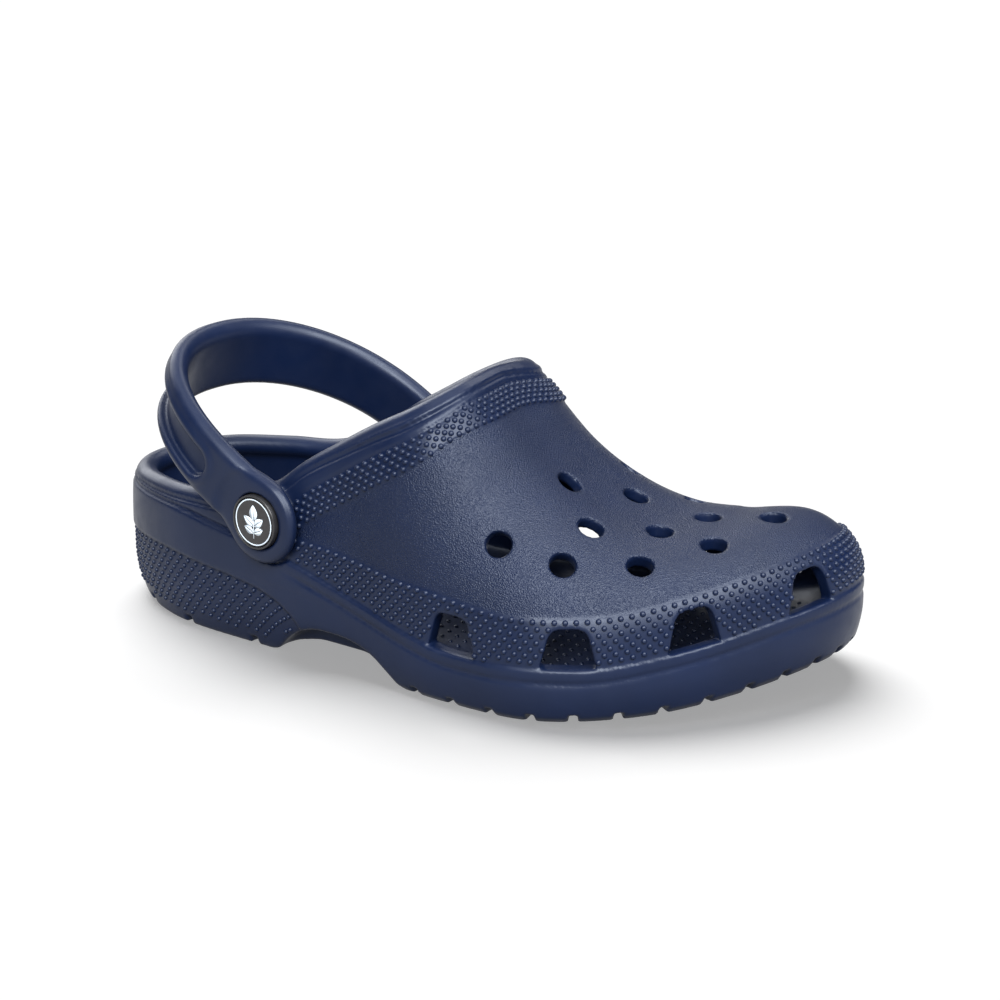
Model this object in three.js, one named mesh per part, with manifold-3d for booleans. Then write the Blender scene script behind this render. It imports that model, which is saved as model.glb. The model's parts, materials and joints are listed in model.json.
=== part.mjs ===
// Moulded foam garden clog, right foot, with a heel strap that swings on two snap rivets.
// Millimetres, +Z up, +X toward the toe, +Y toward the big toe side of the foot.
import * as THREE from 'three';
import { mergeVertices } from 'three/addons/utils/BufferGeometryUtils.js';
import Module from 'manifold-3d';

const wasm = await Module();
wasm.setup();

// ---------------------------------------------------------------- driving dimensions

// Places are measured from the back of the heel at ground level. The last group moves the origin
// to the middle of the clog.
const ORIGIN_X = 142.2;
const ORIGIN_Y = -6.73;

// Plan outline of the clog: from the heel along the little toe side to the toe, and back.
const OUTLINE = [
  [0, 0], [11, -24.5], [40, -41.5], [85, -51], [125, -58], [165, -67.5], [205, -69],
  [240, -51], [267, -20], [283, 11], [282, 35], [266, 48.5], [238, 50.5], [200, 51],
  [160, 46.5], [120, 42], [80, 41], [40, 38], [11, 25],
];
const TOE_KNOT = 9;

// Profiles along the length, as knots of [distance from the heel, value].
const GROUND_LIFT = [[0, 6], [15, 2], [40, 0], [185, 0], [220, 1.5], [240, 3.2], [262, 6.8], [285, 12.5]];
const PARTING_HEIGHT = [[0, 30], [60, 28], [110, 26], [150, 21.7], [200, 22.3], [245, 26], [285, 36]];
const RIDGE_HEIGHT = [
  [0, 112], [100, 115], [128, 123.5], [150, 115.4], [165, 99.2], [180, 81.8], [200, 67.2],
  [220, 60], [240, 59], [262, 61.5], [285, 58],
];
const DOME_REACH = [[0, 41], [60, 41], [140, 42], [180, 46], [215, 44], [250, 36], [285, 33]];
const DOME_POWER = [[0, 2.2], [140, 2.2], [200, 2.1], [285, 2.5]];
const TOPLINE_HEIGHT = [
  [-5, 50.5], [20, 53], [45, 54], [68, 56], [85, 63], [100, 74.5], [115, 84],
  [130, 93], [145, 100.5], [162, 106.8],
];
const FOOTBED_HEIGHT = [[0, 25], [60, 21], [120, 19], [160, 16], [200, 15.5], [245, 18.5], [285, 28]];

// Wall of the upper, and the insets that round the side wall over to the tread and the footbed.
// Each lower level is [fraction of the way up to the parting line, inset from the outline].
const WALL = 5.5;
const SOLE_LEVELS = [[0, 6], [0.17, 3.5], [0.36, 1], [0.62, 0]];
const FOOTBED_LEVELS = [[0, WALL + 6], [0.45, WALL + 1]];
const PARTING_FRACTION = 1;

// Spine: the line under the ridge that the cross sections turn around.
const SPINE_START = 40;
const SPINE_END = 245;

const STATIONS = 36;
const DOME_STEPS = 7;
const BOTTOM_STEPS = 2;
const OUTLINE_SAMPLES = 190;

// Openings. Places on the side are given in knots along the outline, counted from the heel.
const VENT_RADIUS = 4.6;
const VENT_DRILL = 22;
const VENT_SIDES = 12;
const VENTS = [
  [184, -59], [192, -19], [196, 24], [206, -53.5], [207.5, -34], [208, 2], [222, 24],
  [226, -17], [228.5, -39], [235, 4.5], [243, 30], [246, -16], [257, 12],
];
const WINDOW_HEIGHT = 13.5;
const WINDOW_FOOT = 19.5;
const WINDOW_HEAD = 12.5;
const WINDOW_CORNER = 3;
const WINDOW_SILL = 0.5;
const WINDOW_DEPTH = 13;
const WINDOW_KNOTS = [5.13, 6.25, 7.35, 8.55, 10.6, 11.75, 12.75, 13.75];

// Tread grooves round the edge, and the hollow under the arch on each side.
const GROOVE_WIDTH = 3;
const GROOVE_DEPTH = 2.6;
const GROOVE_LENGTH = 14;
const GROOVE_RUNS = [
  { from: 4.7, to: 14.3, count: 25 },
  { from: 0.6, to: 2.8, count: 4 },
  { from: 16.2, to: 18.4, count: 4 },
];
const ARCH = { length: 66, height: 12, depth: 9, knots: [3.75, 15.15] };

// Rivets: two on one line across the clog, square to the heel, which points a little outward.
// Each sits on a flat seat moulded on the wall.
const RIVET_LINE = { x: 96.3, y: -3, z: 52.3, turn: THREE.MathUtils.degToRad(-11.5) };
const SIDES = [{ name: 'right', outward: -1 }, { name: 'left', outward: 1 }];
const SEAT_SPAN = 98.8;
const SEAT_THICKNESS = 8;
const BOSS_RADIUS = 11.5;
const FIT = 0.3;
const BORE_RADIUS = 4.3;
const POST_RADIUS = 4;
const HEAD_RADIUS = 10.2;
const HEAD_HEIGHT = 4;
const HEAD_SEAT = 3;
const BADGE_RADIUS = 9;
const BADGE_RECESS = 1.2;
const CAP_RADIUS = 8;
const CAP_HEIGHT = 2.6;
const CAP_LIP = 1;

// Heel strap: a round lobe on each rivet, joined by a band round the back of the heel. The two
// long edges of the band lie in parallel planes that lean back and up.
const LOBE_RADIUS = 16.5;
const STRAP_THICKNESS = 6.3;
const STRAP_WIDTH = 22;
const STRAP_LEAN = THREE.MathUtils.degToRad(31.3);
const STRAP_UPPER = { length: 83.4, halfWidth: 56.5, level: STRAP_WIDTH / 2 };
const STRAP_LOWER = { length: 76.2, halfWidth: 56.9, level: -STRAP_WIDTH / 2 };
const STRAP_DRIFT = -9.8;
const STRAP_STRAIGHT = 18;
const STRAP_POWER = 2.18;
const STRAP_CHAMFER = 1.4;
const STRAP_STEPS = 40;
const STRAP_ARM_SHARE = 0.1;
const STRAP_HALF_SPAN = SEAT_SPAN / 2 + FIT + STRAP_THICKNESS;
const HEAD_BASE = FIT + STRAP_THICKNESS - HEAD_SEAT + FIT;

const HALF_PI = Math.PI / 2;
const ROUND_SIDES = 28;
const ARC_SEGMENTS = 4;
const TOPLINE_STEPS = 20;
const SHORTEST_EDGE = 0.01;
const CUT_MARGIN = 8;
const CUT_TOP = 180;
const CUT_HALF_WIDTH = 90;

// ---------------------------------------------------------------- curves

// A smooth curve through knots of [distance, value], level beyond both ends.
function through(knots) {
  const last = knots.length - 1;
  const rise = (k) => (knots[k + 1][1] - knots[k][1]) / (knots[k + 1][0] - knots[k][0]);
  const slopes = knots.map((knot, k) => {
    if (k === 0) return rise(0);
    if (k === last) return rise(last - 1);
    if (rise(k - 1) * rise(k) <= 0) return 0;
    const before = knots[k][0] - knots[k - 1][0];
    const after = knots[k + 1][0] - knots[k][0];
    return (rise(k) * before + rise(k - 1) * after) / (before + after);
  });
  return (distance) => {
    const x = THREE.MathUtils.clamp(distance, knots[0][0], knots[last][0]);
    let k = 0;
    while (k < last - 1 && x > knots[k + 1][0]) k += 1;
    const span = knots[k + 1][0] - knots[k][0];
    const t = (x - knots[k][0]) / span;
    const t2 = t * t;
    const t3 = t2 * t;
    return (2 * t3 - 3 * t2 + 1) * knots[k][1] + (t3 - 2 * t2 + t) * span * slopes[k]
      + (3 * t2 - 2 * t3) * knots[k + 1][1] + (t3 - t2) * span * slopes[k + 1];
  };
}

const groundLift = through(GROUND_LIFT);
const partingHeight = through(PARTING_HEIGHT);
const ridgeHeight = through(RIDGE_HEIGHT);
const domeReach = through(DOME_REACH);
const domePower = through(DOME_POWER);
const toplineHeight = through(TOPLINE_HEIGHT);
const footbedHeight = through(FOOTBED_HEIGHT);

const outline = new THREE.CatmullRomCurve3(
  OUTLINE.map(([x, y]) => new THREE.Vector3(x, y, 0)), true, 'catmullrom', 0.5);
const outlinePoints = Array.from(
  { length: OUTLINE_SAMPLES }, (unused, k) => outline.getPoint(k / OUTLINE_SAMPLES));

// The two points of the outline that face each other across a cross section, s from heel 0 to toe 1.
function littleToeSide(s) {
  return outline.getPoint(s * TOE_KNOT / OUTLINE.length);
}

function bigToeSide(s) {
  const share = (OUTLINE.length - TOE_KNOT) / OUTLINE.length;
  return s === 0 ? outline.getPoint(0) : outline.getPoint(1 - s * share);
}

function spinePoint(s) {
  const middle = littleToeSide(s).add(bigToeSide(s)).multiplyScalar(0.5);
  const length = outline.getPoint(TOE_KNOT / OUTLINE.length).x;
  middle.x = SPINE_START + (SPINE_END - SPINE_START) * middle.x / length;
  return middle;
}

function distanceToOutline(x, y) {
  const place = new THREE.Vector3(x, y, 0);
  const nearest = new THREE.Vector3();
  const side = new THREE.Line3();
  return outlinePoints.reduce((least, point, k) => {
    side.set(point, outlinePoints[(k + 1) % OUTLINE_SAMPLES]);
    side.closestPointToPoint(place, true, nearest);
    return Math.min(least, nearest.distanceTo(place));
  }, Infinity);
}

// Height of the upper over a place in the plan: a dome that leaves the parting line upright and
// levels out at the ridge. The inner face is the same dome with the wall taken off.
function domeHeight(x, y, wall) {
  const parting = partingHeight(x);
  const depth = (distanceToOutline(x, y) - wall) / (domeReach(x) - wall);
  const outward = THREE.MathUtils.clamp(1 - depth, 0, 1);
  const power = domePower(x);
  return parting + (ridgeHeight(x) - wall - parting) * (1 - outward ** power) ** (1 / power);
}

// ---------------------------------------------------------------- solids

function solid(geometry) {
  const bare = geometry.index ? geometry.clone() : mergeVertices(geometry.clone());
  bare.deleteAttribute('normal');
  bare.deleteAttribute('uv');
  const merged = mergeVertices(bare, 1e-4);
  return new wasm.Manifold(new wasm.Mesh({
    numProp: 3,
    vertProperties: new Float32Array(merged.attributes.position.array),
    triVerts: new Uint32Array(merged.index.array),
  }));
}

// Cuts leave a few edges far shorter than the foam could show; their two ends become one point.
function geometryOf(body) {
  const mesh = body.getMesh();
  const cut = new THREE.BufferGeometry();
  cut.setAttribute('position', new THREE.BufferAttribute(new Float32Array(mesh.vertProperties), 3));
  cut.setIndex(Array.from(mesh.triVerts));
  const geometry = mergeVertices(cut, SHORTEST_EDGE);
  const corners = Array.from(geometry.index.array);
  const kept = [];
  for (let k = 0; k < corners.length; k += 3) {
    const [a, b, c] = corners.slice(k, k + 3);
    if (a !== b && b !== c && c !== a) kept.push(a, b, c);
  }
  geometry.setIndex(kept);
  geometry.computeVertexNormals();
  return geometry;
}

// A skin over rings of equal length. Rings either close up to a slit at both ends or get flat ends.
function skin(rings, flatEnds) {
  const size = rings[0].length;
  const positions = rings.flat().flatMap((point) => [point.x, point.y, point.z]);
  const index = [];
  for (let i = 0; i + 1 < rings.length; i += 1) {
    for (let j = 0; j < size; j += 1) {
      const a = i * size + j;
      const b = i * size + (j + 1) % size;
      index.push(a, a + size, b, b, a + size, b + size);
    }
  }
  if (flatEnds) {
    const end = (rings.length - 1) * size;
    for (let j = 1; j + 1 < size; j += 1) {
      index.push(0, j, j + 1);
      index.push(end, end + j + 1, end + j);
    }
  }
  const geometry = new THREE.BufferGeometry();
  geometry.setAttribute('position', new THREE.Float32BufferAttribute(positions, 3));
  geometry.setIndex(index);
  return geometry;
}

// A round peg on the rivet line, between two places on it. The line runs along Y of its own frame.
function peg(fromY, toY, radius) {
  const geometry = new THREE.CylinderGeometry(radius, radius, Math.abs(toY - fromY), ROUND_SIDES);
  return solid(geometry.translate(0, (fromY + toY) / 2, 0));
}

function onClog(pegSolid) {
  const geometry = geometryOf(pegSolid);
  geometry.rotateZ(RIVET_LINE.turn);
  return solid(geometry.translate(RIVET_LINE.x, RIVET_LINE.y, RIVET_LINE.z));
}

// ---------------------------------------------------------------- clog body

// One cross section: up the little toe side, over the dome, down the big toe side, back below.
function clogRing(s, wall, levels, floorHeight) {
  const spine = spinePoint(s);
  const half = (edge) => {
    const inward = spine.clone().sub(edge);
    const reach = inward.length();
    inward.normalize();
    const at = (inset) => edge.clone().addScaledVector(inward, inset);
    const wallPoints = [...levels, [PARTING_FRACTION, wall]].map(([fraction, inset]) => {
      const point = at(inset);
      const floor = floorHeight(point.x);
      point.z = floor + fraction * (partingHeight(point.x) - floor);
      return point;
    });
    const domePoints = [];
    for (let step = 1; step <= DOME_STEPS; step += 1) {
      const across = 1 - Math.cos(HALF_PI * step / DOME_STEPS);
      const point = at(wall + (reach - wall) * across);
      point.z = domeHeight(point.x, point.y, wall);
      domePoints.push(point);
    }
    const bottomPoints = [];
    for (let step = 1; step <= BOTTOM_STEPS; step += 1) {
      const point = at(levels[0][1] + (reach - levels[0][1]) * step / BOTTOM_STEPS);
      point.z = floorHeight(point.x);
      bottomPoints.push(point);
    }
    return { wallPoints, domePoints, bottomPoints };
  };
  const outer = half(littleToeSide(s));
  const inner = half(bigToeSide(s));
  return [
    ...outer.wallPoints,
    ...outer.domePoints,
    ...inner.domePoints.slice(0, -1).reverse(),
    ...inner.wallPoints.reverse(),
    ...inner.bottomPoints,
    ...outer.bottomPoints.slice(0, -1).reverse(),
  ];
}

function clogSkin(wall, levels, floorHeight) {
  const rings = [];
  for (let station = 0; station <= STATIONS; station += 1) {
    rings.push(clogRing(station / STATIONS, wall, levels, floorHeight));
  }
  return solid(skin(rings, false));
}

// A prism that cuts in through the side of the clog, square to the outline at one place on it.
// Its shape is drawn as seen from outside, with the ground as its base line.
function sideCutter(shape, knot, depth) {
  const place = knot / OUTLINE.length;
  const along = outline.getTangent(place);
  const up = new THREE.Vector3(0, 0, 1);
  const outward = new THREE.Vector3().crossVectors(along, up);
  const across = new THREE.Vector3().crossVectors(up, outward);
  const geometry = new THREE.ExtrudeGeometry(
    shape, { depth: depth + CUT_MARGIN, bevelEnabled: false, curveSegments: ARC_SEGMENTS });
  geometry.applyMatrix4(new THREE.Matrix4().makeBasis(across, up, outward));
  const origin = outline.getPoint(place).addScaledVector(outward, -depth);
  return solid(geometry.translate(origin.x, origin.y, origin.z));
}

// The foot opening: everything above the topline, cut straight across the clog.
function openingCutter() {
  const start = TOPLINE_HEIGHT[0][0];
  const end = TOPLINE_HEIGHT[TOPLINE_HEIGHT.length - 1][0];
  const shape = new THREE.Shape();
  shape.moveTo(start - CUT_MARGIN, toplineHeight(start));
  for (let step = 0; step <= TOPLINE_STEPS; step += 1) {
    const x = start + (end - start) * step / TOPLINE_STEPS;
    shape.lineTo(x, toplineHeight(x));
  }
  shape.lineTo(end, CUT_TOP);
  shape.lineTo(start - CUT_MARGIN, CUT_TOP);
  const geometry = new THREE.ExtrudeGeometry(shape, { depth: 2 * CUT_HALF_WIDTH, bevelEnabled: false });
  return solid(geometry.rotateX(HALF_PI).translate(0, CUT_HALF_WIDTH, 0));
}

// A vent hole is drilled square to the dome.
function ventCutter([x, y]) {
  const height = (px, py) => domeHeight(px, py, 0);
  const slopeX = (height(x + 1, y) - height(x - 1, y)) / 2;
  const slopeY = (height(x, y + 1) - height(x, y - 1)) / 2;
  const square = new THREE.Vector3(-slopeX, -slopeY, 1).normalize();
  const geometry = new THREE.CylinderGeometry(VENT_RADIUS, VENT_RADIUS, VENT_DRILL, VENT_SIDES);
  geometry.applyQuaternion(new THREE.Quaternion().setFromUnitVectors(new THREE.Vector3(0, 1, 0), square));
  return solid(geometry.translate(x, y, height(x, y)));
}

function windowShape(knot) {
  const { x } = outline.getPoint(knot / OUTLINE.length);
  const foot = partingHeight(x) + WINDOW_SILL;
  const head = foot + WINDOW_HEIGHT;
  const shape = new THREE.Shape();
  shape.moveTo(-WINDOW_FOOT / 2, foot);
  shape.lineTo(WINDOW_FOOT / 2, foot);
  shape.lineTo(WINDOW_HEAD / 2 + 1, head - WINDOW_CORNER);
  shape.quadraticCurveTo(WINDOW_HEAD / 2, head, WINDOW_HEAD / 2 - WINDOW_CORNER, head);
  shape.lineTo(-WINDOW_HEAD / 2 + WINDOW_CORNER, head);
  shape.quadraticCurveTo(-WINDOW_HEAD / 2, head, -WINDOW_HEAD / 2 - 1, head - WINDOW_CORNER);
  return shape;
}

function archShape() {
  const shape = new THREE.Shape();
  shape.moveTo(-ARCH.length / 2, -CUT_MARGIN);
  shape.lineTo(ARCH.length / 2, -CUT_MARGIN);
  shape.bezierCurveTo(ARCH.length / 4, ARCH.height, ARCH.length / 4, ARCH.height, 0, ARCH.height);
  const quarter = ARCH.length / 4;
  shape.bezierCurveTo(-quarter, ARCH.height, -quarter, ARCH.height, -ARCH.length / 2, -CUT_MARGIN);
  return shape;
}

function grooveShape(knot) {
  const { x } = outline.getPoint(knot / OUTLINE.length);
  const shape = new THREE.Shape();
  shape.moveTo(-GROOVE_WIDTH / 2, -CUT_MARGIN);
  shape.lineTo(GROOVE_WIDTH / 2, -CUT_MARGIN);
  shape.lineTo(GROOVE_WIDTH / 2, groundLift(x) + GROOVE_DEPTH);
  shape.lineTo(-GROOVE_WIDTH / 2, groundLift(x) + GROOVE_DEPTH);
  return shape;
}

function spread({ from, to, count }) {
  return Array.from({ length: count }, (unused, k) => from + (to - from) * k / (count - 1));
}

function clogBody() {
  const cavity = clogSkin(WALL, FOOTBED_LEVELS, footbedHeight);
  let body = clogSkin(0, SOLE_LEVELS, groundLift).subtract(cavity);
  body = body.subtract(openingCutter());
  for (const { outward } of SIDES) {
    const face = outward * SEAT_SPAN / 2;
    const back = face - outward * SEAT_THICKNESS;
    const beyond = outward * CUT_MARGIN;
    body = body.add(onClog(peg(face + outward, back - outward, BOSS_RADIUS)));
    body = body.subtract(onClog(peg(face + beyond, face, LOBE_RADIUS + 1)));
    body = body.subtract(onClog(peg(back, back - beyond, BOSS_RADIUS + 1)));
    body = body.subtract(onClog(peg(face + beyond, back - beyond, BORE_RADIUS)));
  }
  for (const vent of VENTS) body = body.subtract(ventCutter(vent));
  for (const knot of WINDOW_KNOTS) body = body.subtract(sideCutter(windowShape(knot), knot, WINDOW_DEPTH));
  for (const knot of ARCH.knots) body = body.subtract(sideCutter(archShape(), knot, ARCH.depth));
  for (const run of GROOVE_RUNS) {
    for (const knot of spread(run)) {
      body = body.subtract(sideCutter(grooveShape(knot), knot, GROOVE_LENGTH));
    }
  }
  return geometryOf(body);
}

// ---------------------------------------------------------------- heel strap

// One long edge of the strap, in its own plane: short arms that spread from the lobes, then a wide
// round end that drifts to one side. The inset gives the same edge on the inner face.
function strapEdge({ length, halfWidth, level }, inset) {
  const startWidth = STRAP_HALF_SPAN - inset;
  const endWidth = halfWidth - inset;
  const roundLength = length - inset - STRAP_STRAIGHT;
  const back = new THREE.Vector3(-Math.cos(STRAP_LEAN), 0, Math.sin(STRAP_LEAN));
  const up = new THREE.Vector3(Math.sin(STRAP_LEAN), 0, Math.cos(STRAP_LEAN));
  return Array.from({ length: STRAP_STEPS + 1 }, (unused, step) => {
    const share = step / STRAP_STEPS;
    const onArm = Math.min(share, 1 - share) / STRAP_ARM_SHARE;
    const bend = (share - STRAP_ARM_SHARE) / (1 - 2 * STRAP_ARM_SHARE);
    const turn = Math.PI * THREE.MathUtils.clamp(bend, 0, 1);
    const power = 2 / STRAP_POWER;
    const spread = THREE.MathUtils.lerp(startWidth, endWidth, THREE.MathUtils.smoothstep(onArm, 0, 1));
    const past = roundLength * Math.sin(turn) ** power;
    const reach = onArm < 1 ? STRAP_STRAIGHT * onArm : STRAP_STRAIGHT + past;
    const width = onArm < 1 ? spread : endWidth * Math.abs(Math.cos(turn)) ** power;
    const point = back.clone().multiplyScalar(reach).addScaledVector(up, level);
    point.y = (share < 0.5 ? -width : width) + STRAP_DRIFT * (reach / length) ** 2;
    return point;
  });
}

function heelStrap() {
  const corners = [
    strapEdge(STRAP_LOWER, STRAP_THICKNESS),
    strapEdge(STRAP_UPPER, STRAP_THICKNESS),
    strapEdge(STRAP_UPPER, 0),
    strapEdge(STRAP_LOWER, 0),
  ];
  // Each corner of the section is cut off.
  const rings = corners[0].map((unused, step) => corners.flatMap((corner, k) => {
    const before = corners[(k + 3) % 4][step];
    const after = corners[(k + 1) % 4][step];
    const toward = (other) => other.clone().sub(corner[step]).setLength(STRAP_CHAMFER).add(corner[step]);
    return [toward(before), toward(after)];
  }));
  let strap = solid(skin(rings, true));
  for (const { outward } of SIDES) {
    const outerFace = outward * STRAP_HALF_SPAN;
    const innerFace = outward * (STRAP_HALF_SPAN - STRAP_THICKNESS);
    const seatFloor = outward * (STRAP_HALF_SPAN - HEAD_SEAT);
    const beyond = outward * CUT_MARGIN;
    strap = strap.add(peg(outerFace, innerFace, LOBE_RADIUS));
    strap = strap.subtract(peg(outerFace + beyond, innerFace - beyond, BORE_RADIUS));
    strap = strap.subtract(peg(outerFace + beyond, seatFloor, HEAD_RADIUS + FIT));
  }
  return geometryOf(strap);
}

// ---------------------------------------------------------------- rivets

function turned(profile) {
  const points = profile.map(([radius, height]) => new THREE.Vector2(radius, height));
  return geometryOf(solid(new THREE.LatheGeometry(points, ROUND_SIDES)));
}

// Heights are measured outward from the seat face on the clog's wall.
function rivetButton() {
  const top = HEAD_BASE + HEAD_HEIGHT;
  const recess = top - BADGE_RECESS;
  const postEnd = -SEAT_THICKNESS - FIT - CAP_HEIGHT + CAP_LIP + FIT;
  return turned([
    [0, postEnd], [POST_RADIUS - 0.4, postEnd], [POST_RADIUS, postEnd + 0.4], [POST_RADIUS, HEAD_BASE],
    [HEAD_RADIUS, HEAD_BASE], [HEAD_RADIUS, top - 0.5], [HEAD_RADIUS - 0.5, top],
    [BADGE_RADIUS + FIT, top], [BADGE_RADIUS + FIT, recess], [0, recess],
  ]);
}

function rivetBadge() {
  const top = HEAD_BASE + HEAD_HEIGHT - 0.1;
  const base = HEAD_BASE + HEAD_HEIGHT - BADGE_RECESS + FIT;
  const edge = 0.2;
  return turned([
    [0, base],
    [BADGE_RADIUS, base],
    [BADGE_RADIUS, top - edge],
    [BADGE_RADIUS - edge, top],
    [0, top],
  ]);
}

function rivetCap() {
  const base = -SEAT_THICKNESS - FIT;
  const end = base - CAP_HEIGHT;
  return turned([
    [0, end], [CAP_RADIUS - 0.8, end], [CAP_RADIUS, end + 0.8], [CAP_RADIUS, base],
    [BORE_RADIUS, base], [BORE_RADIUS, end + CAP_LIP], [0, end + CAP_LIP],
  ]);
}

// ---------------------------------------------------------------- assembly

function mesh(name, geometry, { color, roughness }) {
  const material = new THREE.MeshStandardMaterial({ color, roughness, metalness: 0 });
  const part = new THREE.Mesh(geometry, material);
  part.name = name;
  return part;
}

const FOAM = { color: 0x1c2a4a, roughness: 0.62 };
const BLACK_PLASTIC = { color: 0x101114, roughness: 0.35 };
const BADGE_PRINT = { color: 0x33363c, roughness: 0.4 };

const rivetLine = new THREE.Group();
rivetLine.position.set(RIVET_LINE.x, RIVET_LINE.y, RIVET_LINE.z);
rivetLine.rotation.z = RIVET_LINE.turn;
rivetLine.add(mesh('heel_strap', heelStrap(), FOAM));

for (const { name, outward } of SIDES) {
  const rivet = new THREE.Group();
  rivet.position.y = outward * SEAT_SPAN / 2;
  rivet.rotation.x = outward > 0 ? 0 : Math.PI;
  rivet.add(
    mesh(`${name}_rivet_button`, rivetButton(), BLACK_PLASTIC),
    mesh(`${name}_rivet_badge`, rivetBadge(), BADGE_PRINT),
    mesh(`${name}_rivet_cap`, rivetCap(), BLACK_PLASTIC),
  );
  rivetLine.add(rivet);
}

const clog = new THREE.Group();
clog.position.set(-ORIGIN_X, -ORIGIN_Y, 0);
clog.add(mesh('clog_body', clogBody(), FOAM), rivetLine);

export default clog;
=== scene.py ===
"""Moulded foam garden clog: fine surface, materials, floor, light and camera on the CAD frame."""

import json
import math

import bpy
import numpy as np
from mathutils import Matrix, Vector


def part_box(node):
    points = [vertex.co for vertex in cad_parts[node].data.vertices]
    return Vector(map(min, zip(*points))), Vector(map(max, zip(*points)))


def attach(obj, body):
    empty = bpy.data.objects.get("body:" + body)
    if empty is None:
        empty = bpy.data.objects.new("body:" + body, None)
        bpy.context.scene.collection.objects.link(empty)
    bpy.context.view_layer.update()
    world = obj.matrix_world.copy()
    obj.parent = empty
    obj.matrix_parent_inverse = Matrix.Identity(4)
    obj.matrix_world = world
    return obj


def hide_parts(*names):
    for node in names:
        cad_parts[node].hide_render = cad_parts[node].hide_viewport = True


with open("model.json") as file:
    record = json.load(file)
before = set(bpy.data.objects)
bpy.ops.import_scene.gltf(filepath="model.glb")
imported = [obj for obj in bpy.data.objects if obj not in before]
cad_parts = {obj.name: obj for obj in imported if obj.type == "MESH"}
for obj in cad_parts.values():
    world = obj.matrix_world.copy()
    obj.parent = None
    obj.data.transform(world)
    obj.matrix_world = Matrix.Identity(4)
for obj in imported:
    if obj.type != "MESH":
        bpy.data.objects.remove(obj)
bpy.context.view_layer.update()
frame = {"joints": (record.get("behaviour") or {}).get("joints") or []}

MM = 0.001

# ------------------------------------------------------------------ dimensions, millimetres
# Places are measured from the back of the heel at ground level, +X toward the toe.
OUTLINE = [
    (0, 0), (11, -24.5), (40, -41.5), (85, -51), (125, -58), (165, -67.5), (205, -69),
    (240, -51), (267, -20), (283, 11), (282, 35), (266, 48.5), (238, 50.5), (200, 51),
    (160, 46.5), (120, 42), (80, 41), (40, 38), (11, 25),
]
# Height of the underside: the heel and the toe spring up, and the waist is raised.
GROUND_LIFT = [
    (0, 6), (15, 2), (40, 0), (84, 0), (95, 3.4), (107, 5.6), (123, 5.6), (133, 3.2), (140, 0),
    (185, 0), (220, 1.5), (240, 3.2), (262, 6.8), (285, 12.5),
]
PARTING_HEIGHT = [(0, 30), (60, 28), (110, 26), (150, 21.7), (200, 22.3), (245, 26), (285, 36)]
RIDGE_HEIGHT = [
    (0, 112), (100, 115), (128, 123.5), (150, 115.4), (165, 99.2), (180, 81.8), (200, 67.2),
    (220, 60), (240, 59), (262, 61.5), (285, 58),
]
DOME_REACH = [(0, 41), (60, 41), (140, 42), (180, 46), (215, 44), (250, 36), (285, 33)]
DOME_POWER = [(0, 2.2), (140, 2.2), (200, 2.1), (285, 2.5)]
TOPLINE_HEIGHT = [
    (-5, 50.5), (20, 53), (45, 54), (68, 56), (85, 63), (100, 74.5), (115, 84), (130, 93),
    (145, 100.5), (162, 106.8), (200, 121.5),
]
FOOTBED_HEIGHT = [(0, 25), (60, 21), (120, 19), (160, 16), (200, 15.5), (245, 18.5), (285, 28)]
WALL = 5.5
SOLE_INSET = [(-0.2, 5), (0, 2.8), (0.14, 1.7), (0.34, 0.6), (0.6, 0), (1, 0)]
FOOTBED_INSET = [(-0.4, WALL + 16), (0, WALL + 6), (0.45, WALL + 1), (1, WALL)]

# Lines moulded round the side. The stripe runs from the heel into the forefoot side wall.
STRIPE_TOP = [
    (0, 45.5), (20, 46.5), (41, 46), (63, 43), (80, 40.5), (97, 37), (112, 33), (129, 28.3),
    (150, 23.2), (164, 20.6), (182, 20), (205, 21), (224, 22), (243, 25.6), (258, 28.9),
    (272, 32.7), (286, 36),
]
STRIPE_BOTTOM = [
    (0, 28), (15, 29), (30, 29.3), (53, 27.3), (69, 25.6), (83, 23), (92, 19.5), (98, 15),
    (104, 6), (110, -6), (286, -6),
]
FOXING_HEIGHT = [(90, 20), (160, 19.5), (190, 16.5), (222, 16), (245, 18.2), (286, 20)]
ARCH_TOP = [(84, -5), (92, 5), (100, 11), (112, 13.8), (125, 13), (135, 9.5), (147, 0), (152, -5)]
ARCH_DEPTH = 9
ARCH_SPAN = (86, 150)

BEAD_RADIUS = 3.9
BEAD_INWARD = 0.8
CREASE_RADIUS, CREASE_OUT = 0.9, 0.75
CREASE_DROP, CREASE_DROP_MORE = 4.0, 1.9  # below the rim, at the heel and added at the instep
LEDGE_DEPTH = 1.0
SIDE_LINE_DROP, SIDE_LINE_HALF_WIDTH, SIDE_LINE_DEPTH = 4.8, 0.9, 0.55
COLLAR_EDGE_DEPTH = 0.5
COLLAR_BAND = (10.8, 19.8)
RIM_TILT = (3.8, -1.6)  # rise of the rim over the instep on the outer and the inner side
RIM_RISE_START, RIM_RISE_RUN, RIM_RISE_MOST = 138, 20, 1.15
RAISE_COLLAR, RAISE_FOXING, RAISE_STRIPE, RAISE_PANEL, RAISE_REAR = 0.7, 0.5, 1.3, 0.2, 0.4

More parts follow.
